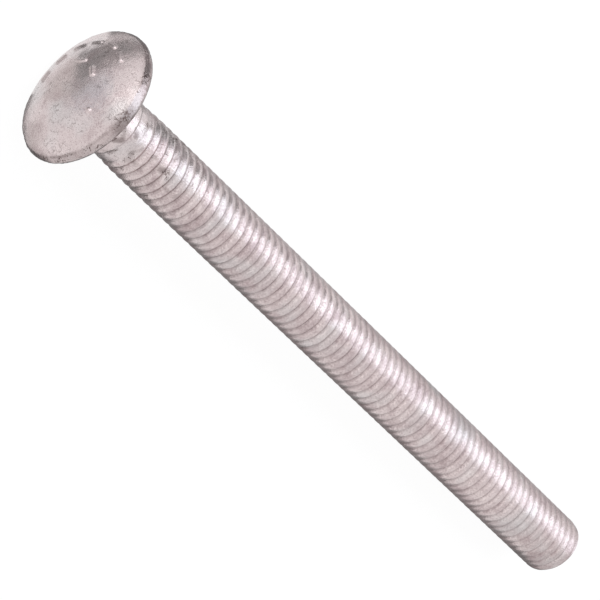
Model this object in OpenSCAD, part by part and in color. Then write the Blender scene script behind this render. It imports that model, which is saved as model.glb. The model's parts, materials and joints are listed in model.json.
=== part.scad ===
// Carriage bolt: a domed round head, a square neck and a shank threaded down to its tip.
// It is forged and rolled from one rod, so it is one node and one solid. It lies as it
// comes to rest on a flat surface, on its head's rim and on its last full thread.

/* [Thread] */
// Diameter over the thread's crests
thread_d = 9.8; // [8:0.1:12]
// Distance from one crest to the next
thread_pitch = 1.5875; // [1.25:0.0125:2]
// Depth of the thread from crest to root
thread_depth = 0.85; // [0.5:0.05:1.1]
// Width of the flat on a crest
crest_w = 0.45; // [0.2:0.05:0.5]
// Turns over which the thread runs out below the neck
runout_turns = 1; // [0.5:0.5:3]

/* [Shank] */
// Length from the bearing face under the head to the tip
shank_l = 122; // [25:1:200]
// Length of the chamfer at the tip
tip_l = 1.1; // [0.5:0.1:2]
// Depth that the chamfer takes off the crests at the tip
tip_cut = 0.3; // [0.1:0.05:0.6]

/* [Neck] */
// Step from the thread's crests out to the flats of the square neck
neck_step = 0.05; // [0.05:0.05:1]
// Length of the square neck at its corners
neck_l = 4.2; // [3:0.1:8]
// Length over which the corners blend into the shank
neck_blend_l = 1.6; // [1:0.1:4]
// Radius of the neck's corner edges
neck_corner_r = 0.7; // [0.3:0.1:1.5]
// Turn of the neck about the bolt's axis, away from lying on a flat
neck_turn = 20; // [0:1:45]

/* [Head] */
// Diameter of the head
head_d = 21.7; // [18:0.1:26]
// Height of the head above its bearing face
head_h = 5; // [4:0.1:7]
// Radius of the round rim
rim_r = 1.05; // [0.8:0.05:1.5]
// Angle from the bolt's axis at which the rim's round meets the dome
rim_top_angle = 45; // [45:1:60]

/* [Hidden] */
$fn = 96;

crest_r = thread_d / 2;
neck_w = thread_d + 2 * neck_step;
neck_end = neck_l + neck_blend_l;
// The blend ends a little proud of the crests, so that the neck stays one clean round there.
neck_end_r = crest_r + neck_step / 2;
head_r = head_d / 2;

// The dome is a sphere from the apex down to where it meets the rim's round.
rim_centre_r = head_r - rim_r;
dome_base_r = rim_centre_r + rim_r * sin(rim_top_angle);
dome_rise = head_h - rim_r * (1 + cos(rim_top_angle));
dome_r = (dome_base_r ^ 2 + dome_rise ^ 2) / (2 * dome_rise);
// There the rim's round would stand over the dome, highest where both lean alike, so it is cut off.
rim_high_r = rim_centre_r + rim_r * dome_base_r / dome_r;

// One pitch of the thread, as places along the bolt: both edges of the crest, then the root.
profile = [0, crest_w, (thread_pitch + crest_w) / 2];
ROOT = 2;
// The helix starts two turns up inside the neck, so that a crest is centred where the blend ends.
hidden_turns = 2;
spare_turns = 2;
thread_start = neck_end - hidden_turns * thread_pitch - crest_w / 2;
rows = len(profile) * (ceil((shank_l - thread_start) / thread_pitch) + spare_turns);
// A long or fine thread gets fewer facets a turn, so that the whole stays light.
most_facets = 11500;
sides = min(24, floor(most_facets / (2 * rows)));

// The bolt tilts until the rim and the last full crest both touch the surface.
full_l = shank_l - tip_l;
last_crest = thread_start + thread_pitch * floor((full_l - thread_start) / thread_pitch);
touch_l = min(last_crest + crest_w, full_l);
reach = rim_r + touch_l;
drop = rim_centre_r - crest_r;
tilt = atan2(drop, reach) + asin(rim_r / norm([reach, drop]));
axis_height = touch_l * sin(tilt) + crest_r * cos(tilt);

// The ends of the lying bolt, counted from the bearing face.
head_end = (dome_r - head_h) * cos(tilt) - dome_r;
tip_end = shank_l * cos(tilt) + (crest_r - tip_cut) * sin(tilt);

// The groove deepens from nothing as it leaves the neck.
function groove_depth(z) =
    thread_depth * min(1, max(0, (z - neck_end) / (runout_turns * thread_pitch)));

// Row k runs up the profile, and column j goes round the bolt at 360 / sides degrees each.
function thread_point(k, j) =
    let (
        step = k % len(profile),
        z = thread_start + profile[step]
            + thread_pitch * (floor(k / len(profile)) + j / sides),
        r = step == ROOT ? crest_r - groove_depth(z) : crest_r,
        angle = 360 * j / sides
    )
    [r * cos(angle), r * sin(angle), z];

// Each column is followed by the next, and the last one meets the first a pitch further up.
// So the first column has one more pitch of rows than the others.
function index(k, j) =
    j == 0 ? k
    : j == sides ? k + len(profile)
    : len(profile) + rows * j + k;

// The rim of an end of the helix: once round row k, then back down the step to its start.
function end_ring(k) = concat(
    [for (j = [0 : sides - 1]) index(k, j)],
    [for (i = [len(profile) : -1 : 1]) index(k + i, 0)]
);

module helix() {
    points = concat(
        [for (k = [0 : rows + len(profile) - 1]) thread_point(k, 0)],
        [for (j = [1 : sides - 1], k = [0 : rows - 1]) thread_point(k, j)]
    );
    wall = [
        for (j = [0 : sides - 1], k = [0 : rows - 2], half = [0, 1])
            half == 0
                ? [index(k, j), index(k + 1, j), index(k, j + 1)]
                : [index(k + 1, j), index(k + 1, j + 1), index(k, j + 1)]
    ];
    low_hub = len(points);
    high_hub = low_hub + 1;
    hubs = [for (k = [0, rows - 1]) [0, 0, thread_point(k, sides / 2).z]];
    low = end_ring(0);
    high = end_ring(rows - 1);
    last = len(low) - 1;
    caps = [
        for (i = [0 : last])
            let (next = i == last ? 0 : i + 1)
            each [[low_hub, low[i], low[next]], [high_hub, high[next], high[i]]]
    ];
    polyhedron(points = concat(points, hubs), faces = concat(wall, caps));
}

// What stays of the helix: all of it up to the tip, where a cone chamfers the crests.
module tip_envelope() {
    clear_r = crest_r + 1;
    cone_l = tip_l * (clear_r - crest_r + tip_cut) / tip_cut;
    rotate_extrude()
        polygon([
            [0, 0],
            [clear_r, 0],
            [clear_r, shank_l - cone_l],
            [crest_r - tip_cut, shank_l],
            [0, shank_l]
        ]);
}

module threaded_shank() {
    intersection() {
        helix();
        tip_envelope();
    }
}

module rounded_square(width, corner_r) {
    inset = width / 2 - corner_r;
    square([width, 2 * inset], center = true);
    square([2 * inset, width], center = true);
    for (x = [-inset, inset], y = [-inset, inset])
        translate([x, y])
            circle(corner_r);
}

// The square neck, whose corners run down a cone into the shank.
module neck() {
    corner_reach = (neck_w / 2 - neck_corner_r) * sqrt(2) + neck_corner_r;
    clear_r = corner_reach + 1;
    intersection() {
        rotate([0, 0, neck_turn])
            linear_extrude(neck_end)
                rounded_square(neck_w, neck_corner_r);
        rotate_extrude()
            polygon([
                [0, 0],
                [clear_r, 0],
                [clear_r, neck_l],
                [corner_reach, neck_l],
                [neck_end_r, neck_end],
                [0, neck_end]
            ]);
    }
}

// The head's half section: a round rim and the flat inside it, cut to the dome's sphere.
module head_section() {
    intersection() {
        translate([0, head_h - dome_r])
            circle(dome_r);
        union() {
            translate([rim_centre_r, rim_r])
                circle(rim_r);
            square([rim_centre_r, head_h]);
            translate([0, rim_r])
                square([rim_high_r, head_h - rim_r]);
        }
    }
}

module head() {
    mirror([0, 0, 1])
        rotate_extrude()
            head_section();
}

module carriage_bolt() {
    color("silver")
        translate([-(head_end + tip_end) / 2, 0, axis_height])
            rotate([0, 90 + tilt, 0])
                union() {
                    head();
                    neck();
                    threaded_shank();
                }
}

carriage_bolt();
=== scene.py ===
"""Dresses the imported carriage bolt: its forged head, its rolled thread and its hot-dip zinc."""

import json
import math

import bpy
from mathutils import Matrix, Vector, noise


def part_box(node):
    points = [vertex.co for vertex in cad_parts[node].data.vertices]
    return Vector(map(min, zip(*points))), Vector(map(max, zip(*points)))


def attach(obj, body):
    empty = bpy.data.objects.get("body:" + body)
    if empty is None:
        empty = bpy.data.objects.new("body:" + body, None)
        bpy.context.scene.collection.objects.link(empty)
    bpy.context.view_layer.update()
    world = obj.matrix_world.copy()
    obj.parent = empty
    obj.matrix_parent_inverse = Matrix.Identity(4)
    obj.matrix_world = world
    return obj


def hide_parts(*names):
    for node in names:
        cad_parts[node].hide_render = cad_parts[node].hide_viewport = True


bl_info = {
    "name": "Carriage bolt",
    "version": (1, 0, 0),
    "blender": (4, 5, 0),
    "location": "3D View > Sidebar > Bolt",
    "description": "A hot-dip galvanised carriage bolt with a rolled thread",
    "category": "Object",
}

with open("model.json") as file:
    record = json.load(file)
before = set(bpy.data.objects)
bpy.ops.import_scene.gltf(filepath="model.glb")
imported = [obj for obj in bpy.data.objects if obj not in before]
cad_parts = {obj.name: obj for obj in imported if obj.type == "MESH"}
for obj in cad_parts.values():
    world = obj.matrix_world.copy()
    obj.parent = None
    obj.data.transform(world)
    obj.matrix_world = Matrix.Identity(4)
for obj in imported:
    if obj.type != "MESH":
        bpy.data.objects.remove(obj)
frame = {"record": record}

NODE = "carriage_bolt"
MM = 0.001
MOUNTS = {mount["name"]: mount for mount in frame["record"]["mounts"]}
LOW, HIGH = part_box(NODE)

# The bolt's own frame: Z runs from the bearing face under the head to the tip, Y is the part's own
# Y, and X points down.
SEAT = Vector(MOUNTS["head_seat"]["pos_m"])
AXIS = Vector(MOUNTS["head_seat"]["axis"]).normalized()
SIDE = Vector((0.0, 1.0, 0.0))
DOWN = SIDE.cross(AXIS)
SHANK_L = (Vector(MOUNTS["thread"]["pos_m"]) - SEAT).length
CREST_R = MOUNTS["thread"]["dims"]["r_mm"] * MM
HEAD_R = (HIGH.y - LOW.y) / 2

# How finely the skin is made: points round the head and the neck, and round the shank. Nearer the
# apex than FINE_FROM, the head has as few as the shank.
HEAD_COLUMNS = 288
SHANK_COLUMNS = 72
FINE_FROM = 2.6 * MM
# Steps from ring to ring down the dome and round the rim, and how many rings the other forms have.
# Those on the flat end are given as shares of its radius.
DOME_STEP, RIM_STEP = 0.14 * MM, 0.15 * MM
FILLET_RINGS, NECK_RINGS, EDGE_RINGS = 5, 34, 4
END_RINGS = (0.85, 0.6, 0.3)
# Rows of points in a pitch of the thread, as shares of a pitch from a crest. They lie closest in
# the groove.
ROWS = (0.0, 0.13, 0.25, 0.34, 0.40, 0.45, 0.5, 0.55, 0.60, 0.66, 0.75, 0.87)

# Patterns in the skin, as layers of a hill's size, its height and its seed.
DOME_WAVES = ((4.5 * MM, 1.0, 1), (1.6 * MM, 0.6, 2), (0.7 * MM, 0.3, 11))
RIM_SCALE = ((0.55 * MM, 1.0, 3), (0.28 * MM, 0.6, 4))
GROOVE_ZINC = ((4.5 * MM, 1.0, 5), (1.6 * MM, 0.7, 6))
CREST_WAVES = ((1.3 * MM, 0.5, 7), (0.5 * MM, 0.4, 8))
NECK_WAVES = ((2.2 * MM, 0.6, 9),)
RIDGE_STAINS = ((1.6 * MM, 1.0, 12),)
SHANK_PATCHES = ((1.5 * MM, 1.0, 15),)
# The height of a pattern that lies on the form itself. Most of the pattern lies under it.
DOME_TOP, SCALE_TOP, CREST_TOP, NECK_TOP = 0.5, 0.4, 0.15, 0.6
# Heights of a pattern between which stains on the ridge, patches on the shank and the fill of the
# scale's hollows grow from none to full.
STAINED, PATCHED, HOLLOW = (-0.5, 0.5), (-0.2, 0.7), (0.1, 0.9)

# Arcs of plain bars on the dome, as the radius of the arc, its first angle, the angle from bar to
# bar, and how many bars there are.
BAR_ARCS = (
    (7.4 * MM, math.radians(-15), math.radians(25), 6),
    (3.6 * MM, math.radians(60), math.radians(60), 2),
)
PIP = Vector((-6.4 * MM, -1.1 * MM, 0.0))
# A bar slopes down between these shares of its width from its middle line.
BAR_SLOPE = (0.2, 0.6)

# Where dross ran to the rim and set there: an angle round the bolt, half the width of the run, and
# how thick it set. A run thins out between these multiples of half its width.
DROSS_RUNS = (
    (math.radians(120), math.radians(26), 0.5),
    (math.radians(174), math.radians(13), 1.0),
    (math.radians(258), math.radians(13), 1.0),
)
RUN_THINS = (0.5, 1.3)

# How densely the zinc is pitted on the dome, on the rim, and where dross has set, and how much of
# the dome's pits the neck has. The thread is pitted only in its patches of dross.
BARE_PITS, RIM_PITS, DROSS_PITS = 0.6, 1.3, 2.0
NECK_PITTED = 0.7
# How dark the dross colour is painted on the slopes of a bar, as painted shade at its foot, and
# under the rim all round, as a painted shadow, and how much dross lies on the crests by the tip,
# which drains last; there, the side away from Y is painted darker as shade.
BAR_PAINTED_SHADE, UNDER_RIM_PAINTED_SHADOW, TIP_DROSS_AND_SHADE = 1.8, 0.3, 0.9
# The width of the painted shade, in the dross colour, in the corner where the neck steps down to
# the thread.
NECK_STEP_PAINTED_SHADE_W = 0.25 * MM

# Stretches over which something sets in or fades. From the ridge between the dome and the rim, the
# scale and the runs of dross set in, and the stains fade.
SCALE_SETS_IN, RUNS_SET_IN = (-0.3 * MM, 0.15 * MM), (-0.9 * MM, 0.0)
STAINS_FADE = (0.05 * MM, 0.4 * MM)
# From the bearing face, the dome's waves and, under the rim, a painted shadow in the dross colour
# set in, and along the shank the patches of dross fade.
WAVES_SET_IN, UNDER_RIM_SHADOW_SETS_IN = (0.0, 0.4 * MM), (-0.75 * MM, -0.3 * MM)
PATCHES_FADE = (12 * MM, 30 * MM)
# From the first crest, the neck's pits fade, and so do the wide grooves of the first turns.
PITS_FADE, WIDE_FADES = (-1 * MM, 0.0), (4 * MM, 24 * MM)
# How far before the tip dross starts on the crests and covers them, and the end starts to slant.
DRAIN_FROM, DRAIN_TO, SLANT_FROM = 24 * MM, 2 * MM, 6 * MM

# How much wider and deeper the grooves of the first turns are.
WIDER, DEEPER = 0.62, 0.2
# About the most that zinc takes up of a groove's depth.
ZINC_FILL = 0.4
# The length over which the crests rise from the neck, as a multiple of the run-out, and how much
# rougher they start.
RISE_L, RISE_ROUGHER = 1.2, 1.5
# How widely forms run into each other: the neck's flats into its cone, the neck into the thread,
# and the thread into the chamfer.
CONE_ROUND, STEP_ROUND, CHAMFER_ROUND = 0.1 * MM, 0.06 * MM, 0.08 * MM


def linear(hex_colour):
    """An sRGB hex colour as linear red, green and blue, and an alpha of 1."""
    channels = [int(hex_colour[i : i + 2], 16) / 255 for i in (1, 3, 5)]
    return [c / 12.92 if c <= 0.04045 else ((c + 0.055) / 1.055) ** 2.4 for c in channels] + [1.0]


def size(name, description, millimetres):
    return bpy.props.FloatProperty(
        name=name,
        description=description,
        default=millimetres * MM,
        min=0.0,
        precision=5,
        subtype="DISTANCE",
        unit="LENGTH",
    )


def turn(name, description, degrees):
    return bpy.props.FloatProperty(
        name=name,
        description=description,
        default=math.radians(degrees),
        subtype="ANGLE",
        unit="ROTATION",
    )


def colour(name, description, hex_colour):
    return bpy.props.FloatVectorProperty(
        name=name,
        description=description,
        default=linear(hex_colour),
        size=4,
        min=0.0,
        max=1.0,
        subtype="COLOR",
    )


def share(name, description, default):
    return bpy.props.FloatProperty(
        name=name,
        description=description,
        default=default,
        min=0.0,
        max=1.0,
        subtype="FACTOR",
    )


def level(name, description, default, unit="NONE"):
    return bpy.props.FloatProperty(
        name=name, description=description, default=default, min=0.0, unit=unit
    )


class BoltSizes(bpy.types.PropertyGroup):
    """Sizes of the bolt that the frame's mounts and box don't give"""

    head_h: size("Head height", "Height of the head above its bearing face", 4.98)
    head_off: size("Head offset", "How far the forging left the head off the shank's axis", 0.15)
    rim_r: size("Rim radius", "Radius of the head's round rim", 1.05)
    rim_top: turn("Rim top", "Angle from the axis at which the rim's round meets its cone", 60)
    rim_cone: size("Rim cone", "Length of the narrow cone between the rim and the dome", 0.4)
    neck_l: size("Neck", "Length of the square neck at its corners", 3.5)
    neck_blend_l: size("Neck blend", "Length over which the corners blend into the shank", 1.6)
    neck_step: size("Neck step", "Step from the crests out to the neck's flats", 0.05)
    neck_corner_r: size("Neck corner", "Radius of the neck's corner edges", 0.7)
    neck_turn: turn("Neck turn", "Turn of the square neck about the bolt's axis", 20)
    neck_fillet: size("Neck fillet", "Fillet between the neck and the bearing face", 0.35)
    first_crest: size("First crest", "From the bearing face to the middle of the first crest", 5.8)
    pitch: size("Pitch", "Distance from one crest to the next", 1.5875)
    groove: size("Groove", "Depth of the thread from crest to root, with zinc in the root", 0.42)
    groove_w: size("Groove width", "Width of the groove at half its depth", 0.47)
    runout: size("Run-out", "Length over which the thread deepens below the neck", 4.6)
    rise: size("Crest rise", "How far the rolling raised the crests above the neck's end", 0.2)
    tip_l: size("Tip", "Length of the rounded chamfer at the tip", 1.1)
    tip_cut: size("Tip cut", "Depth that the chamfer takes off the crests", 0.3)
    tip_edge: size("Tip edge", "Radius of the last edge of the tip", 0.22)
    tip_slant: size("Tip slant", "How far the cropped end falls off from its longest side", 0.65)
    bar_l: size("Bar length", "Length of the plain raised bars on the dome", 2.2)
    bar_w: size("Bar width", "Width of the plain raised bars on the dome", 0.7)
    bar_h: size("Bar height", "Height of the plain raised bars on the dome", 0.24)


class ZincFinish(bpy.types.PropertyGroup):
    """The hot-dip zinc: its colours, its waves, its grain and its shine"""

    bright: colour("Bright zinc", "Zinc that has kept its shine", "#e2d4d3")
    dull: colour("Dull zinc", "Zinc that has gone matt", "#af9d9e")
    cool: colour("Cool zinc", "Zinc with a bluish cast", "#b9bcbd")
    # The dross colour also serves as painted shade in the thread's roots, in creases and under the
    # rim.
    dross: colour("Dross", "Grey dross in the grooves and in small pits", "#584745")
    wave_h: size("Waves", "Height of the waves that the zinc froze in", 0.05)
    scale_h: size("Rim scale", "Height of the scale that the forging left on the rim", 0.06)
    patch: size("Patches", "Size of the cloudy patches", 3.0)
    # Finer crystals wouldn't show, so these are drawn as coarse as they need to.
    grain: size("Grain", "Size of the coating's crystals", 0.24)
    crack: size("Cracks", "Size of the loops that the fine cracks draw", 1.6)
    grain_h: size("Grain height", "How far the crystals stand out", 0.03)
    metallic: share("Metallic", "How much of the surface shines as bare metal", 0.9)
    smooth: share("Smoothest", "Roughness of the brightest zinc", 0.22)
    rough: share("Roughest", "Roughness of the dullest zinc", 0.40)


class Studio(bpy.types.PropertyGroup):
    """The paper, the lamps, the cards of painted reflection that only the metal mirrors, and the
    camera
    """

    paper: colour("Paper", "Colour of the paper that the bolt lies on", "#f4f4f4")
    lift: share("Shadow lift", "How much of the paper's white the shadow leaves alone", 0.92)
    shadow: share("Shadow", "How much of the paper's white comes and goes with the lamps", 0.16)
    sky: level("Sky", "Strength of the white surround on matt surfaces", 0.45)
    key: level("Key", "Power of the long soft box over the bolt's side", 3.6, "POWER")
    side: level("Side", "Power of the soft box beside the head", 0.12, "POWER")
    fill: level("Fill", "Power of the soft box behind the camera", 0.7, "POWER")
    lamp: colour("Lamp", "Colour of the long soft box", "#e6f3ff")
    # The colours of the cards below are painted reflections: darker sheets that only the metal
    # mirrors, in place of shade and shadow on the paper and of dim surroundings.
    flag: colour("Flag", "Colour of the card in front of the head", "#949494")
    apron_painted_reflection: colour("Apron", "Colour of the card that lies in front of that one", "#d6dbe2")
    foot_reflection_colour: colour("Hem", "Colour of the cards at the foot of the head", "#dddbda")
    shade: colour("Shade", "Colour of the card along the shaded side of the shank", "#8c8c8c")
    screen: colour("Screen", "Colour of the card along the lit side of the shank", "#cbcbcb")
    corner: colour("Corner", "Colour of the cards beside the rim and the neck", "#929292")
    distance: size("Distance", "From the camera to the point that it looks at", 502.86)
    aim: size("Aim", "Where the camera looks, along the bolt from its bearing face", 50.18)
    aside: size("Aside", "How far the camera stands to the side of the bolt's axis", 0.32)
    elevation: turn("Elevation", "Height of the camera over the horizon", 53.61)
    roll: turn("Roll", "Turn of the camera about its own line of sight", 133.87)
    lens: level("Lens", "Focal length of the camera", 209.03, "CAMERA")


def smoothstep(low, high, value):
    t = min(1.0, max(0.0, (value - low) / (high - low)))
    return t * t * (3 - 2 * t)


def soft_min(a, b, width):
    """The smaller of two lengths, with the corner where they cross rounded over a width."""
    near = max(0.0, 1 - abs(a - b) / width)
    return min(a, b) - width * near * near / 4


def soft_max(a, b, width):
    return -soft_min(-a, -b, width)


def waves(point, layers):
    """Smooth hills and hollows, as the sum of a pattern's layers. Each seed gives others."""
    return sum(
        part * noise.noise(point / hill + Vector((seed, 2.3 * seed, -1.7 * seed)))
        for hill, part, seed in layers
    )


def on_circle(radius, angle, z):
    return Vector((radius * math.cos(angle), radius * math.sin(angle), z))


def round_the_bolt(count):
    """Evenly spaced angles for the points of a ring."""
    return [2 * math.pi * i / count for i in range(count)]


class Skin:
    """One closed mesh in the bolt's own frame, made from the apex of the head to the tip."""

    def __init__(self):
        self.points = []
        self.faces = []
        self.grooves_dross_and_shade = []
        self.pits = []

    def add(self, point, groove=0.0, pits=0.0):
        """Adds a point that may lie in a groove, under dross or in painted shade, or where zinc is
        pitted, and returns its number.
        """
        self.points.append(point)
        self.grooves_dross_and_shade.append(groove)
        self.pits.append(pits)
        return len(self.points) - 1

    def band(self, ring, following):
        """Closes the band between two rings, and one may have several times the other's points."""
        count = min(len(ring), len(following))
        for i in range(count):
            back = part_of_ring(following, i, count)[::-1]
            self.faces.append(part_of_ring(ring, i, count) + back)

    def cap(self, ring, centre, upwards):
        """Closes a ring with a point in its middle."""
        for start, end in zip(ring, ring[1:] + ring[:1]):
            self.faces.append([centre, start, end] if upwards else [centre, end, start])


def part_of_ring(ring, i, count):
    """The points of the i-th of several equal parts of a ring, both of its ends among them."""
    step = len(ring) // count
    return [ring[(i * step + n) % len(ring)] for n in range(step + 1)]


class HeadSection:
    """Half of the head's section: a dome that is part of a sphere, a narrow cone, a round rim."""

    def __init__(self, sizes):
        self.height = sizes.head_h
        self.rim_r = sizes.rim_r
        self.rim_top = sizes.rim_top
        self.rim_centre_r = HEAD_R - sizes.head_off - sizes.rim_r
        self.cone_l = sizes.rim_cone
        round_r, round_z = self.on_round(sizes.rim_top)
        self.edge_r = round_r - sizes.rim_cone * math.cos(sizes.rim_top)
        self.edge_z = round_z - sizes.rim_cone * math.sin(sizes.rim_top)
        rise = sizes.head_h + self.edge_z
        self.dome_r = (self.edge_r**2 + rise**2) / (2 * rise)
        self.dome_l = self.dome_r * math.asin(self.edge_r / self.dome_r)
        self.rim_l = sizes.rim_cone + sizes.rim_r * (math.pi - sizes.rim_top)

    def on_round(self, lean):
        """Radius and z on the rim's round, where the outward normal leans so far from the axis."""
        radius = self.rim_centre_r + self.rim_r * math.sin(lean)
        return radius, -self.rim_r * (1 + math.cos(lean))

    def place(self, along):
        """Radius, z and the outward normal's lean from the axis, at a distance from the apex."""
        if along <= self.dome_l:
            lean = along / self.dome_r
            z = self.dome_r * (1 - math.cos(lean)) - self.height
            return self.dome_r * math.sin(lean), z, lean
        past = along - self.dome_l
        if past <= self.cone_l:
            lean = self.rim_top
            return self.edge_r + past * math.cos(lean), self.edge_z + past * math.sin(lean), lean
        lean = self.rim_top + (past - self.cone_l) / self.rim_r
        return *self.on_round(lean), lean

    def steps(self):
        """Distances from the apex at which a ring of points lies."""
        dome_rings = round(self.dome_l / DOME_STEP)
        rim_rings = round(self.rim_l / RIM_STEP)
        return [self.dome_l * (i + 1) / dome_rings for i in range(dome_rings)] + [
            self.dome_l + self.rim_l * (i + 1) / rim_rings for i in range(rim_rings)
        ]


def plain_bars(sizes):
    """Both ends of the middle line of each raised bar on the dome, seen along the bolt's axis."""
    bars = [(PIP, PIP)]
    for radius, first, step, count in BAR_ARCS:
        half_turn = (sizes.bar_l - sizes.bar_w) / (2 * radius)
        for i in range(count):
            middle = first + i * step
            bars.append([on_circle(radius, middle + end * half_turn, 0.0) for end in (-1, 1)])
    return bars


def bar_share(place, bars, sizes):
    """How far a place on the dome is raised by a bar, from 0 beside the bars to 1 on top of one."""
    best = 0.0
    flat = Vector((place.x, place.y, 0.0))
    for start, end in bars:
        if (flat - start).length > sizes.bar_l:
            continue
        run = end - start
        along = (flat - start).dot(run) / run.length_squared if run.length else 0.0
        distance = (flat - start - min(1.0, max(0.0, along)) * run).length
        top, painted_bar_shade = (part * sizes.bar_w for part in BAR_SLOPE)
        best = max(best, 1 - smoothstep(top, painted_bar_shade, distance))
    return best


def dross_share(angle):
    """How much dross set on the rim at an angle, from 0 to 1."""
    most = 0.0
    for middle, half, thickness in DROSS_RUNS:
        away = abs((angle - middle + math.pi) % (2 * math.pi) - math.pi) / half
        most = max(most, thickness * (1 - smoothstep(*RUN_THINS, away)))
    return most


def add_head(skin, sizes, zinc):
    """The dome with its raised bars, the rim and the bearing face. Returns the last ring."""
    section = HeadSection(sizes)
    bars = plain_bars(sizes)
    off = Vector((0.0, sizes.head_off, 0.0))
    ring = []
    apex = skin.add(off + Vector((0.0, 0.0, -section.height)), pits=BARE_PITS)
    for along in section.steps():
        radius, z, lean = section.place(along)
        columns = HEAD_COLUMNS if along > FINE_FROM else SHANK_COLUMNS
        past_ridge = along - section.dome_l
        rim = smoothstep(*SCALE_SETS_IN, past_ridge)
        near_rim = smoothstep(*RUNS_SET_IN, past_ridge)
        on_ridge = 1 - smoothstep(*STAINS_FADE, abs(past_ridge))
        under = smoothstep(*UNDER_RIM_SHADOW_SETS_IN, z)
        # The bearing face stays flat, so the waves die out where the rim meets it.
        free = smoothstep(*WAVES_SET_IN, -z)
        made = []
        for angle in round_the_bolt(columns):
            place = on_circle(radius, angle, z)
            normal = on_circle(math.sin(lean), angle, -math.cos(lean))
            wave, scale = waves(place, DOME_WAVES), waves(place, RIM_SCALE)
            rough = zinc.wave_h * (wave - DOME_TOP) + zinc.scale_h * rim * (scale - SCALE_TOP)
            bar = bar_share(place, bars, sizes) if along < section.dome_l else 0.0
            height = free * rough + sizes.bar_h * bar
            # Painted shade in the dross colour lies along the foot of each bar, and a painted
            # shadow lies under the rim all round, darker below the runs of dross. Dross lies in the
            # hollows of the scale and here and there on the ridge.
            run = dross_share(angle)
            # Painted shade: the dross colour along the slopes of each bar.
            painted_bar_shade = BAR_PAINTED_SHADE * bar * (1 - bar)
            hollow = rim * smoothstep(*HOLLOW, -scale)
            # Painted shadow under the rim, darker where dross ran.
            painted_under_rim_shadow = under * (UNDER_RIM_PAINTED_SHADOW + (1 - UNDER_RIM_PAINTED_SHADOW) * run)
            stain = on_ridge * smoothstep(*STAINED, waves(place, RIDGE_STAINS))
            dross = max(stain, near_rim * run)
            pits = BARE_PITS + (RIM_PITS - BARE_PITS) * rim + (DROSS_PITS - RIM_PITS) * dross
            made.append(skin.add(off + place + normal * height, max(painted_bar_shade, hollow, painted_under_rim_shadow), pits))
        if ring:
            skin.band(ring, made)
        else:
            skin.cap(made, apex, upwards=False)
        ring = made
    return ring


def square_reach(angle, half, corner_r):
    """How far a square with round corners reaches at an angle from the middle of a flat."""
    past = abs((angle + math.pi / 4) % (math.pi / 2) - math.pi / 4)
    inset = half - corner_r
    if half * math.tan(past) <= inset:
        return half / math.cos(past)
    along = inset * (math.cos(past) + math.sin(past))
    across = inset * (math.cos(past) - math.sin(past))
    return along + math.sqrt(corner_r**2 - across**2)


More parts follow.
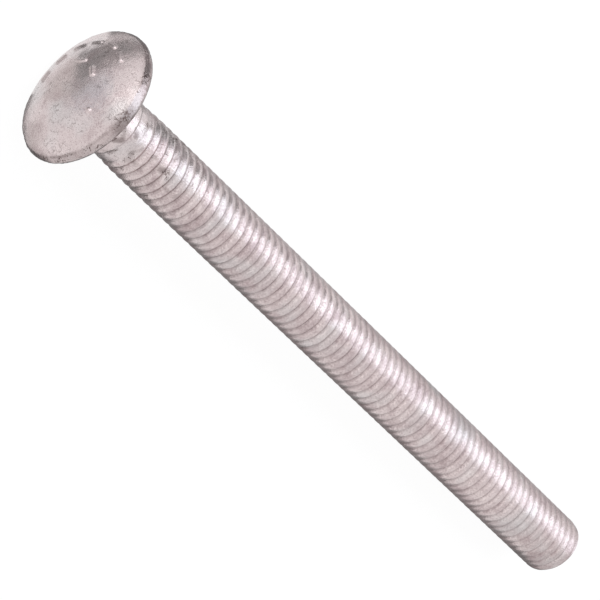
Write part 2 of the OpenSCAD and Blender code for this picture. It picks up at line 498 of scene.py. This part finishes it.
class ShankForm:
    """The neck, the thread and the tip, as a radius at each angle and z."""

    def __init__(self, sizes, zinc):
        self.sizes = sizes
        self.zinc = zinc
        self.neck_half_w = CREST_R + sizes.neck_step
        self.corner_reach = square_reach(math.pi / 4, self.neck_half_w, sizes.neck_corner_r)
        # Crests are wider than grooves, so the swing from crest to root is raised to a power.
        halfway = math.sin(math.pi * (0.5 - sizes.groove_w / (2 * sizes.pitch))) ** 2
        self.power = math.log(0.5) / math.log(halfway)

    def past_first_crest(self, stretch, z):
        """How far a place is through a stretch that counts from the first crest, from 0 to 1."""
        start, end = (self.sizes.first_crest + part for part in stretch)
        return smoothstep(start, end, z)

    def groove(self, angle, z):
        """How deep in the thread's groove a place lies, from 0 on a crest to 1 at the root."""
        start = self.sizes.first_crest
        turns = (z - start) / self.sizes.pitch - angle / (2 * math.pi)
        swing = math.sin(math.pi * turns) ** 2
        run = smoothstep(start, start + self.sizes.runout, z)
        wide = 1 - self.past_first_crest(WIDE_FADES, z)
        return swing ** (self.power * (1 - WIDER * wide)) * run

    def thread(self, angle, z):
        """The thread's radius. Zinc fills its groove here and there, and roughens its crests."""
        place = on_circle(CREST_R, angle, z)
        filled = ZINC_FILL * max(0.0, waves(place, GROOVE_ZINC))
        deeper = 1 + DEEPER * (1 - self.past_first_crest(WIDE_FADES, z))
        depth = self.sizes.groove * (1 - filled) * deeper * self.groove(angle, z)
        start = self.sizes.first_crest
        unrolled = 1 - smoothstep(start, start + RISE_L * self.sizes.runout, z)
        rough = self.zinc.wave_h * (1 + RISE_ROUGHER * unrolled)
        wave = min(0.0, waves(place, CREST_WAVES) - CREST_TOP)
        return CREST_R - self.sizes.rise * unrolled - depth + rough * wave

    def neck(self, angle, z):
        """The square neck's radius. A cone takes its corners down to the thread."""
        sizes = self.sizes
        steepness = (CREST_R - self.corner_reach) / sizes.neck_blend_l
        cone = self.corner_reach + (z - sizes.neck_l) * steepness
        square = square_reach(angle - sizes.neck_turn, self.neck_half_w, sizes.neck_corner_r)
        wave = waves(on_circle(CREST_R, angle, z), NECK_WAVES) - NECK_TOP
        return soft_min(square, cone, CONE_ROUND) + self.zinc.wave_h * wave

    def radius(self, angle, z):
        """The surface's radius, where the thread runs out of the neck and into the tip."""
        sizes = self.sizes
        reach = self.thread(angle, z)
        if z < sizes.first_crest:
            reach = soft_max(reach, self.neck(angle, z), STEP_ROUND)
        into_tip = max(0.0, 1 - (SHANK_L - z) / sizes.tip_l)
        into_edge = max(0.0, 1 - (SHANK_L - z) / sizes.tip_edge)
        edge = sizes.tip_edge * (1 - math.sqrt(1 - min(1.0, into_edge) ** 2))
        return soft_min(reach, CREST_R - sizes.tip_cut * into_tip**2, CHAMFER_ROUND) - edge

    def dross(self, place, angle, z):
        """How much dross lies in patches near the head and on the crests by the tip, and how much
        painted shade, in the dross colour, lies where the neck steps down to the thread, and how
        much of it is in patches."""
        # Painted shade in the crease where the neck steps down to the thread.
        corner = 0.0
        if z < self.sizes.first_crest:
            step = abs(self.neck(angle, z) - self.thread(angle, z))
            corner = 1 - smoothstep(0.0, NECK_STEP_PAINTED_SHADE_W, step)
        patch = smoothstep(*PATCHED, waves(place, SHANK_PATCHES))
        patch *= 1 - smoothstep(*PATCHES_FADE, z)
        # The film by the tip is painted twice as dark on the side away from Y, as painted shade on
        # the side that lies in shade.
        shaded_side_painted_darker = 0.75 - 0.25 * math.sin(angle)
        dross_film_and_painted_shade = smoothstep(SHANK_L - DRAIN_FROM, SHANK_L - DRAIN_TO, z) * shaded_side_painted_darker
        return max(corner, patch, TIP_DROSS_AND_SHADE * dross_film_and_painted_shade), patch

    def point(self, skin, angle, z, inwards=1.0):
        """Adds the point of the surface at that angle and z, or one that lies inside its flat end.
        The end was cropped a little askew."""
        place = on_circle(inwards * self.radius(angle, z), angle, z)
        short = self.sizes.tip_slant * (1 - place.y / CREST_R) / 2
        place.z -= short * smoothstep(SHANK_L - SLANT_FROM, SHANK_L, z)
        dross, patch = self.dross(place, angle, z)
        on_neck = 1 - self.past_first_crest(PITS_FADE, z)
        pits = max(NECK_PITTED * BARE_PITS * on_neck, DROSS_PITS * patch)
        # The groove's depth darkens the thread's root with the dross colour: partly dross, partly
        # painted shade.
        return skin.add(place, max(dross, self.groove(angle, z)), pits)


def add_neck(skin, form, seat_ring):
    """The bearing face inside the rim, the fillet and the square neck. Returns the last ring."""
    fillet = form.sizes.neck_fillet
    angles = round_the_bolt(HEAD_COLUMNS)
    flat_edge = (form.corner_reach + HEAD_R - form.sizes.rim_r) / 2
    ring = [skin.add(on_circle(flat_edge, angle, 0.0)) for angle in angles]
    skin.band(seat_ring, ring)
    for i in range(FILLET_RINGS):
        lean = math.pi / 2 * i / FILLET_RINGS
        spread, z = fillet * (1 - math.sin(lean)), fillet * (1 - math.cos(lean))
        made = [skin.add(on_circle(form.radius(a, fillet) + spread, a, z)) for a in angles]
        skin.band(ring, made)
        ring = made
    for i in range(NECK_RINGS + 1):
        z = fillet + (form.sizes.first_crest - fillet) * i / NECK_RINGS
        if i == NECK_RINGS:
            angles = round_the_bolt(SHANK_COLUMNS)
        made = [form.point(skin, a, z) for a in angles]
        skin.band(ring, made)
        ring = made
    return ring


def add_thread(skin, form, first_ring):
    """The threaded stretch, whose rows climb with the helix, so that edges lie along the crests and
    the roots. It starts and ends on flat rings, and returns the last."""
    angles = round_the_bolt(SHANK_COLUMNS)
    low, high = form.sizes.first_crest, SHANK_L - form.sizes.tip_edge
    clear = 0.03 * form.sizes.pitch
    turns = math.ceil((high - low) / form.sizes.pitch)
    columns = []
    for j, angle in enumerate(angles):
        made = {}
        for k in range(-len(ROWS), turns * len(ROWS)):
            lap, row = divmod(k, len(ROWS))
            z = low + form.sizes.pitch * (j / SHANK_COLUMNS + lap + ROWS[row])
            if low + clear < z < high - clear:
                made[k] = form.point(skin, angle, z)
        columns.append(made)
    last_ring = [form.point(skin, angle, high) for angle in angles]
    for j in range(SHANK_COLUMNS):
        following = (j + 1) % SHANK_COLUMNS
        # Once round the bolt, the same row lies a pitch further up.
        shift = len(ROWS) if following == 0 else 0
        here, there = columns[j], {k - shift: point for k, point in columns[following].items()}
        first, last = min(here), max(there)
        for k in range(first, last):
            skin.faces.append([here[k], there[k], there[k + 1], here[k + 1]])
        there_start = [there[k] for k in range(min(there), first + 1)]
        skin.faces.append([first_ring[j], first_ring[following]] + there_start + [here[first]])
        here_end = [here[k] for k in range(max(here), last - 1, -1)]
        skin.faces.append(here_end + [there[last], last_ring[following], last_ring[j]])
    return last_ring


def add_tip(skin, form, ring):
    """The round edge and the flat end of the tip."""
    angles = round_the_bolt(SHANK_COLUMNS)
    for i in range(1, EDGE_RINGS + 1):
        z = SHANK_L - form.sizes.tip_edge * (1 - math.sin(math.pi / 2 * i / EDGE_RINGS))
        made = [form.point(skin, angle, z) for angle in angles]
        skin.band(ring, made)
        ring = made
    for inwards in END_RINGS:
        made = [form.point(skin, angle, SHANK_L, inwards) for angle in angles]
        skin.band(ring, made)
        ring = made
    skin.cap(ring, form.point(skin, 0.0, SHANK_L, 0.0), upwards=True)


def lay_down(name, skin):
    """Makes an object of the skin, lying where the part's solid lies."""
    place = Matrix((DOWN, SIDE, AXIS)).transposed().to_4x4()
    place.translation = SEAT
    mesh = bpy.data.meshes.new(name)
    mesh.from_pydata([place @ point for point in skin.points], [], skin.faces)
    # The groove attribute carries dross and painted shade for the material.
    mesh.attributes.new("groove", "FLOAT", "POINT").data.foreach_set("value", skin.grooves_dross_and_shade)
    mesh.attributes.new("pits", "FLOAT", "POINT").data.foreach_set("value", skin.pits)
    mesh.shade_smooth()
    made = bpy.data.objects.new(name, mesh)
    bpy.context.scene.collection.objects.link(made)
    return made


def add_node(tree, kind, values=None, links=None, **settings):
    """Adds a shader node with its settings, its sockets' values and the links into its sockets."""
    made = tree.nodes.new(kind)
    for name, value in settings.items():
        setattr(made, name, value)
    for socket, value in (values or {}).items():
        made.inputs[socket].default_value = value
    for socket, source in (links or {}).items():
        tree.links.new(source, made.inputs[socket])
    return made


def empty_material(name):
    material = bpy.data.materials.new(name)
    material.use_nodes = True
    material.node_tree.nodes.clear()
    return material


# Where a Mix node set to colours takes them and gives them.
COLOUR_A, COLOUR_B, COLOUR_OUT = 6, 7, 2


def galvanised_steel(zinc):
    """Hot-dip galvanised steel: forged steel dipped in molten zinc and spun. The zinc freezes in
    fine crystals, which give a soft silvery shine with cloudy patches, dark pits of dross, and
    grooves that are partly dull with dross and partly painted darker as shade."""
    material = empty_material("hot_dip_galvanised_steel")
    tree = material.node_tree
    place = add_node(tree, "ShaderNodeTexCoord").outputs["Object"]
    groove = add_node(tree, "ShaderNodeAttribute", attribute_name="groove").outputs["Fac"]
    pits = add_node(tree, "ShaderNodeAttribute", attribute_name="pits").outputs["Fac"]
    clouds = add_node(
        tree,
        "ShaderNodeTexNoise",
        {"Scale": 1 / zinc.patch, "Detail": 4.0, "Roughness": 0.6},
        {"Vector": place},
    ).outputs["Fac"]
    grain = add_node(
        tree,
        "ShaderNodeTexNoise",
        {"Scale": 1 / zinc.grain, "Detail": 2.0, "Roughness": 0.6},
        {"Vector": place},
    ).outputs["Fac"]
    # Clouds and crystals together say where the zinc is bright and where it is dull. It drains off
    # the head, and leaves it brighter than the thread.
    both = add_node(tree, "ShaderNodeMath", links={0: clouds, 1: grain}, operation="ADD").outputs[0]
    drained = add_node(
        tree, "ShaderNodeMapRange", {"From Max": BARE_PITS, "To Max": 0.14}, {"Value": pits}
    ).outputs["Result"]
    lustre = add_node(
        tree, "ShaderNodeMath", links={0: both, 1: drained}, operation="ADD"
    ).outputs[0]
    shine = add_node(
        tree, "ShaderNodeMapRange", {"From Min": 0.75, "From Max": 1.25}, {"Value": lustre}
    ).outputs["Result"]
    silver = add_node(
        tree,
        "ShaderNodeMix",
        {COLOUR_A: zinc.dull, COLOUR_B: zinc.bright},
        {"Factor": shine},
        data_type="RGBA",
    ).outputs[COLOUR_OUT]
    # Here and there, in stretches twice as large as the clouds, the zinc has a bluish cast.
    cast = add_node(
        tree, "ShaderNodeTexNoise", {"Scale": 0.5 / zinc.patch, "Detail": 2.0}, {"Vector": place}
    ).outputs["Fac"]
    cold = add_node(
        tree,
        "ShaderNodeMapRange",
        {"From Min": 0.5, "From Max": 0.75, "To Max": 0.45},
        {"Value": cast},
    ).outputs["Result"]
    tinted = add_node(
        tree,
        "ShaderNodeMix",
        {COLOUR_B: zinc.cool},
        {"Factor": cold, COLOUR_A: silver},
        data_type="RGBA",
    ).outputs[COLOUR_OUT]
    # Dross leaves a film in the grooves and where it ran; in the thread's roots, in creases, on the
    # slopes of the bars and under the rim this film is painted shade. It also gathers in specks
    # over the head, which lie in clouds and are densest where dross has set.
    deep = add_node(
        tree,
        "ShaderNodeMapRange",
        {"From Min": 0.35, "From Max": 1.0, "To Max": 0.3},
        {"Value": groove},
    ).outputs["Result"]
    run = add_node(
        tree,
        "ShaderNodeMapRange",
        {"From Min": BARE_PITS, "From Max": DROSS_PITS, "To Max": 0.62},
        {"Value": pits},
    ).outputs["Result"]
    dross_film_and_painted_shade = add_node(tree, "ShaderNodeMath", links={0: deep, 1: run}, operation="MAXIMUM").outputs[0]
    crowd = add_node(
        tree,
        "ShaderNodeMapRange",
        {"From Min": RIM_PITS, "From Max": DROSS_PITS, "To Max": 0.1},
        {"Value": pits},
    ).outputs["Result"]
    crowded = add_node(
        tree, "ShaderNodeMath", links={0: grain, 1: crowd}, operation="ADD"
    ).outputs[0]
    specks = add_node(
        tree, "ShaderNodeMapRange", {"From Min": 0.55, "From Max": 0.66}, {"Value": crowded}
    ).outputs["Result"]
    in_clouds = add_node(
        tree,
        "ShaderNodeMapRange",
        {"From Min": 0.44, "From Max": 0.56, "To Min": 0.2},
        {"Value": clouds},
    ).outputs["Result"]
    clumps = add_node(
        tree, "ShaderNodeMath", links={0: specks, 1: in_clouds}, operation="MULTIPLY"
    ).outputs[0]
    pitted = add_node(
        tree, "ShaderNodeMapRange", {"From Max": RIM_PITS, "To Max": 0.95}, {"Value": pits}
    ).outputs["Result"]
    speckled = add_node(
        tree, "ShaderNodeMath", links={0: clumps, 1: pitted}, operation="MULTIPLY"
    ).outputs[0]
    # Short cracks follow the contour lines of a noise and are broken by the clouds.
    contours = add_node(
        tree,
        "ShaderNodeTexNoise",
        {"Scale": 1 / zinc.crack, "Detail": 2.5, "Roughness": 0.55},
        {"Vector": place},
    ).outputs["Fac"]
    beside = add_node(
        tree, "ShaderNodeMath", {1: 0.5, 2: 0.016}, {0: contours}, operation="COMPARE"
    ).outputs[0]
    spread = add_node(
        tree, "ShaderNodeMath", links={0: clouds, 1: crowd}, operation="ADD"
    ).outputs[0]
    broken = add_node(
        tree, "ShaderNodeMapRange", {"From Min": 0.5, "From Max": 0.56}, {"Value": spread}
    ).outputs["Result"]
    cracks = add_node(
        tree, "ShaderNodeMath", links={0: beside, 1: broken}, operation="MULTIPLY"
    ).outputs[0]
    cracked = add_node(
        tree, "ShaderNodeMapRange", {"From Max": RIM_PITS, "To Max": 0.9}, {"Value": pits}
    ).outputs["Result"]
    crazed = add_node(
        tree, "ShaderNodeMath", links={0: cracks, 1: cracked}, operation="MULTIPLY"
    ).outputs[0]
    scale = add_node(
        tree, "ShaderNodeMath", links={0: speckled, 1: crazed}, operation="MAXIMUM"
    ).outputs[0]
    dross = add_node(
        tree, "ShaderNodeMath", links={0: dross_film_and_painted_shade, 1: scale}, operation="MAXIMUM"
    ).outputs[0]
    skin = add_node(
        tree,
        "ShaderNodeMix",
        {COLOUR_B: zinc.dross},
        {"Factor": dross, COLOUR_A: tinted},
        data_type="RGBA",
    ).outputs[COLOUR_OUT]
    roughness = add_node(
        tree, "ShaderNodeMapRange", {"To Min": zinc.rough, "To Max": zinc.smooth}, {"Value": shine}
    ).outputs["Result"]
    relief = add_node(
        tree, "ShaderNodeBump", {"Strength": 1.0, "Distance": zinc.grain_h}, {"Height": grain}
    ).outputs["Normal"]
    surface = add_node(
        tree,
        "ShaderNodeBsdfPrincipled",
        {"Metallic": zinc.metallic},
        {"Base Color": skin, "Roughness": roughness, "Normal": relief},
    ).outputs["BSDF"]
    add_node(tree, "ShaderNodeOutputMaterial", links={"Surface": surface})
    return material


def seen_directly(tree):
    """A socket that is 1 for rays from the camera, and for those that metal or glass sends on."""
    path = add_node(tree, "ShaderNodeLightPath").outputs
    eye = add_node(
        tree,
        "ShaderNodeMath",
        links={0: path["Is Camera Ray"], 1: path["Is Glossy Ray"]},
        operation="MAXIMUM",
    ).outputs[0]
    return add_node(
        tree, "ShaderNodeMath", links={0: eye, 1: path["Is Transmission Ray"]}, operation="MAXIMUM"
    ).outputs[0]


def studio_paper(studio):
    """A roll of matt white paper. Part of its white is its own, so that only a soft shadow shows
    on it."""
    material = empty_material("matt_studio_paper")
    tree = material.node_tree
    matt = add_node(tree, "ShaderNodeBsdfDiffuse", {"Color": studio.paper}).outputs["BSDF"]
    dimmed = [channel * studio.shadow for channel in studio.paper[:3]] + [1.0]
    shadowed = add_node(tree, "ShaderNodeBsdfDiffuse", {"Color": dimmed}).outputs["BSDF"]
    white = add_node(tree, "ShaderNodeEmission", {"Strength": studio.lift}).outputs["Emission"]
    shown = add_node(tree, "ShaderNodeAddShader", links={0: shadowed, 1: white}).outputs["Shader"]
    surface = add_node(
        tree, "ShaderNodeMixShader", links={0: seen_directly(tree), 1: matt, 2: shown}
    ).outputs["Shader"]
    add_node(tree, "ShaderNodeOutputMaterial", links={"Surface": surface})
    return material


def white_surround(studio):
    """White all round, and dimmer where it lights matt surfaces."""
    world = bpy.data.worlds.new("white_surround")
    world.use_nodes = True
    tree = world.node_tree
    tree.nodes.clear()
    seen = seen_directly(tree)
    brightness = add_node(
        tree, "ShaderNodeMapRange", {"To Min": studio.sky, "To Max": 1.0}, {"Value": seen}
    ).outputs["Result"]
    sky = add_node(
        tree, "ShaderNodeBackground", {"Color": (1.0, 1.0, 1.0, 1.0)}, {"Strength": brightness}
    ).outputs["Background"]
    add_node(tree, "ShaderNodeOutputWorld", links={"Surface": sky})
    return world


def direction(azimuth, elevation):
    """A unit vector towards a place in the studio. Azimuth turns from +X to +Y."""
    return on_circle(math.cos(elevation), azimuth, math.sin(elevation))


def add_soft_box(name, power, target, azimuth, elevation, distance, width, height):
    """A soft box turned to its target, with its sizes in metres and its angles in degrees."""
    lamp = bpy.data.lights.new(name, "AREA")
    lamp.shape = "RECTANGLE"
    lamp.size, lamp.size_y = width, height
    lamp.energy = power
    box = bpy.data.objects.new(name, lamp)
    towards = direction(math.radians(azimuth), math.radians(elevation))
    box.location = target + distance * towards
    box.rotation_euler = towards.to_track_quat("Z", "Y").to_euler()
    bpy.context.scene.collection.objects.link(box)
    return lamp


def add_lamps(studio, middle):
    """A long soft box over the bolt's side, a small one beside its head and a weak one behind the
    camera."""
    past_middle = Vector((0.2, 0.0, 0.0))
    key = add_soft_box(
        "long_soft_box",
        studio.key,
        middle + past_middle,
        azimuth=90,
        elevation=43,
        distance=0.6,
        width=1.7,
        height=0.5,
    )
    key.color = studio.lamp[:3]
    add_soft_box(
        "side_soft_box",
        studio.side,
        SEAT,
        azimuth=150,
        elevation=14,
        distance=0.4,
        width=0.26,
        height=0.18,
    )
    add_soft_box(
        "fill_soft_box",
        studio.fill,
        middle,
        azimuth=200,
        elevation=60,
        distance=0.9,
        width=1.2,
        height=1.2,
    )


# How far the paper reaches each way, and the sides that its corners lie on.
PAPER_REACH = 2.0
PAPER_CORNERS = ((-1, -1), (1, -1), (1, 1), (-1, 1))

# Cards that only the metal mirrors, painted reflections in place of shade and shadow on the paper
# and of dim surroundings, each with its corners and the setting that gives its colour.
# The corners are in millimetres along X from just before the head, along Y and over the paper. Two
# cards share an edge by the head, and two end a little past the tip.
CARD_START, CARD_LIFT = LOW.x - 1 * MM, LOW.z + 0.2 * MM
HEAD_EDGE = ((-21, -3, 0), (0, 5, 0))
PAST_TIP = (HIGH.x - CARD_START) / MM + 20


def on_paper(x, y, far_x, far_y):
    """The corners of a card flat on the paper, between two of them."""
    return (x, y, 0), (far_x, y, 0), (far_x, far_y, 0), (x, far_y, 0)


CARDS = (
    ("head_painted_reflection", (*HEAD_EDGE, (0, 34, 0), (-10, 34, 0)), "flag"),
    ("apron_painted_reflection", on_paper(-149, -7, -22, 18), "apron_painted_reflection"),
    ("side_painted_reflection", (*HEAD_EDGE, (0, -6, 0), (-21, -6, 0)), "foot_reflection_colour"),
    ("foot_painted_reflection", on_paper(-4, -30, 2, -11), "foot_reflection_colour"),
    ("shade_painted_reflection", on_paper(3, -30, PAST_TIP, -5), "shade"),
    ("lit_side_painted_reflection", on_paper(13, 5, PAST_TIP, 30), "screen"),
    ("corner_painted_reflection", on_paper(2, 10, 13, 60), "corner"),
    ("rim_painted_reflection", ((-20, 60, 0), (30, 60, 0), (30, 60, 30), (-20, 60, 30)), "corner"),
)


def painted_reflection_card(shade):
    """A glowing card, which paints a darker reflection into the metal. It shows its colour at any
    angle, and neither shines nor is lit.
    """
    material = empty_material("painted_reflection_sheet")
    tree = material.node_tree
    shown = add_node(tree, "ShaderNodeEmission", {"Color": shade}).outputs["Emission"]
    add_node(tree, "ShaderNodeOutputMaterial", links={"Surface": shown})
    return material


def add_sheet(name, corners, material):
    """A flat stage piece with four corners."""
    mesh = bpy.data.meshes.new(name)
    mesh.from_pydata(corners, [], [(0, 1, 2, 3)])
    mesh.materials.append(material)
    sheet = bpy.data.objects.new(name, mesh)
    bpy.context.scene.collection.objects.link(sheet)
    return sheet


def add_paper(studio):
    """The sheet of paper that the bolt lies on."""
    corners = [(x * PAPER_REACH, y * PAPER_REACH, LOW.z) for x, y in PAPER_CORNERS]
    add_sheet("paper", corners, studio_paper(studio))


def add_cards(studio):
    """The cards, which lie or stand a little over the paper. They paint darker reflections into the
    metal, and nothing else."""
    for name, corners, setting in CARDS:
        placed = [(CARD_START + x * MM, y * MM, CARD_LIFT + z * MM) for x, y, z in corners]
        card = add_sheet(name, placed, painted_reflection_card(getattr(studio, setting)))
        # Hidden from the camera, from matt surfaces and from shadows, the cards show only as
        # painted reflections in the metal.
        card.visible_camera = card.visible_diffuse = card.visible_shadow = False


def add_camera(studio):
    """Looks down over the head, along the bolt, and is turned so that the bolt runs down to the
    right."""
    data = bpy.data.cameras.new("camera")
    data.lens = studio.lens
    camera = bpy.data.objects.new("camera", data)
    back = direction(math.pi, studio.elevation)
    camera.location = SEAT + studio.aim * AXIS + studio.aside * SIDE + studio.distance * back
    level_right = Vector((0.0, -1.0, 0.0))
    level_up = back.cross(level_right)
    right = math.cos(studio.roll) * level_right + math.sin(studio.roll) * level_up
    camera.rotation_euler = Matrix((right, back.cross(right), back)).transposed().to_euler()
    bpy.context.scene.collection.objects.link(camera)
    bpy.context.scene.camera = camera


class MESH_OT_galvanised_bolt(bpy.types.Operator):
    """Makes the head, the neck and the rolled thread as one skin of zinc"""

    bl_idname = "mesh.galvanised_bolt"
    bl_label = "Galvanised bolt"
    bl_options = {"REGISTER", "UNDO"}

    def execute(self, context):
        sizes, zinc = context.scene.bolt_sizes, context.scene.zinc_finish
        skin = Skin()
        form = ShankForm(sizes, zinc)
        seat_ring = add_head(skin, sizes, zinc)
        neck_ring = add_neck(skin, form, seat_ring)
        thread_ring = add_thread(skin, form, neck_ring)
        add_tip(skin, form, thread_ring)
        bolt = lay_down("galvanised_bolt", skin)
        bolt.data.materials.append(galvanised_steel(zinc))
        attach(bolt, "root")
        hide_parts(NODE)
        return {"FINISHED"}


class SCENE_OT_bolt_studio(bpy.types.Operator):
    """Lays white paper under the bolt and sets the lamps, the cards of painted reflection and the
    camera
    """

    bl_idname = "scene.bolt_studio"
    bl_label = "Studio"
    bl_options = {"REGISTER", "UNDO"}

    def execute(self, context):
        studio = context.scene.bolt_studio
        add_paper(studio)
        add_lamps(studio, SEAT + studio.aim * AXIS)
        add_cards(studio)
        context.scene.world = white_surround(studio)
        context.scene.view_settings.view_transform = "Standard"
        add_camera(studio)
        return {"FINISHED"}


class VIEW3D_PT_bolt(bpy.types.Panel):
    """Lists the bolt's operators and settings in the sidebar"""

    bl_label = "Carriage bolt"
    bl_space_type = "VIEW_3D"
    bl_region_type = "UI"
    bl_category = "Bolt"

    def draw(self, context):
        scene = context.scene
        for operator, settings in (
            (MESH_OT_galvanised_bolt, (scene.bolt_sizes, scene.zinc_finish)),
            (SCENE_OT_bolt_studio, (scene.bolt_studio,)),
        ):
            self.layout.operator(operator.bl_idname)
            column = self.layout.column(align=True)
            for group in settings:
                for name in group.__annotations__:
                    column.prop(group, name)


CLASSES = (
    BoltSizes,
    ZincFinish,
    Studio,
    MESH_OT_galvanised_bolt,
    SCENE_OT_bolt_studio,
    VIEW3D_PT_bolt,
)
SETTINGS = {"bolt_sizes": BoltSizes, "zinc_finish": ZincFinish, "bolt_studio": Studio}


def register():
    for made in CLASSES:
        bpy.utils.register_class(made)
    for name, group in SETTINGS.items():
        setattr(bpy.types.Scene, name, bpy.props.PointerProperty(type=group))


def unregister():
    for name in SETTINGS:
        delattr(bpy.types.Scene, name)
    for made in reversed(CLASSES):
        bpy.utils.unregister_class(made)


def main():
    register()
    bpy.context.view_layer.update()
    bpy.ops.mesh.galvanised_bolt()
    bpy.ops.scene.bolt_studio()


if __name__ == "__main__":
    main()
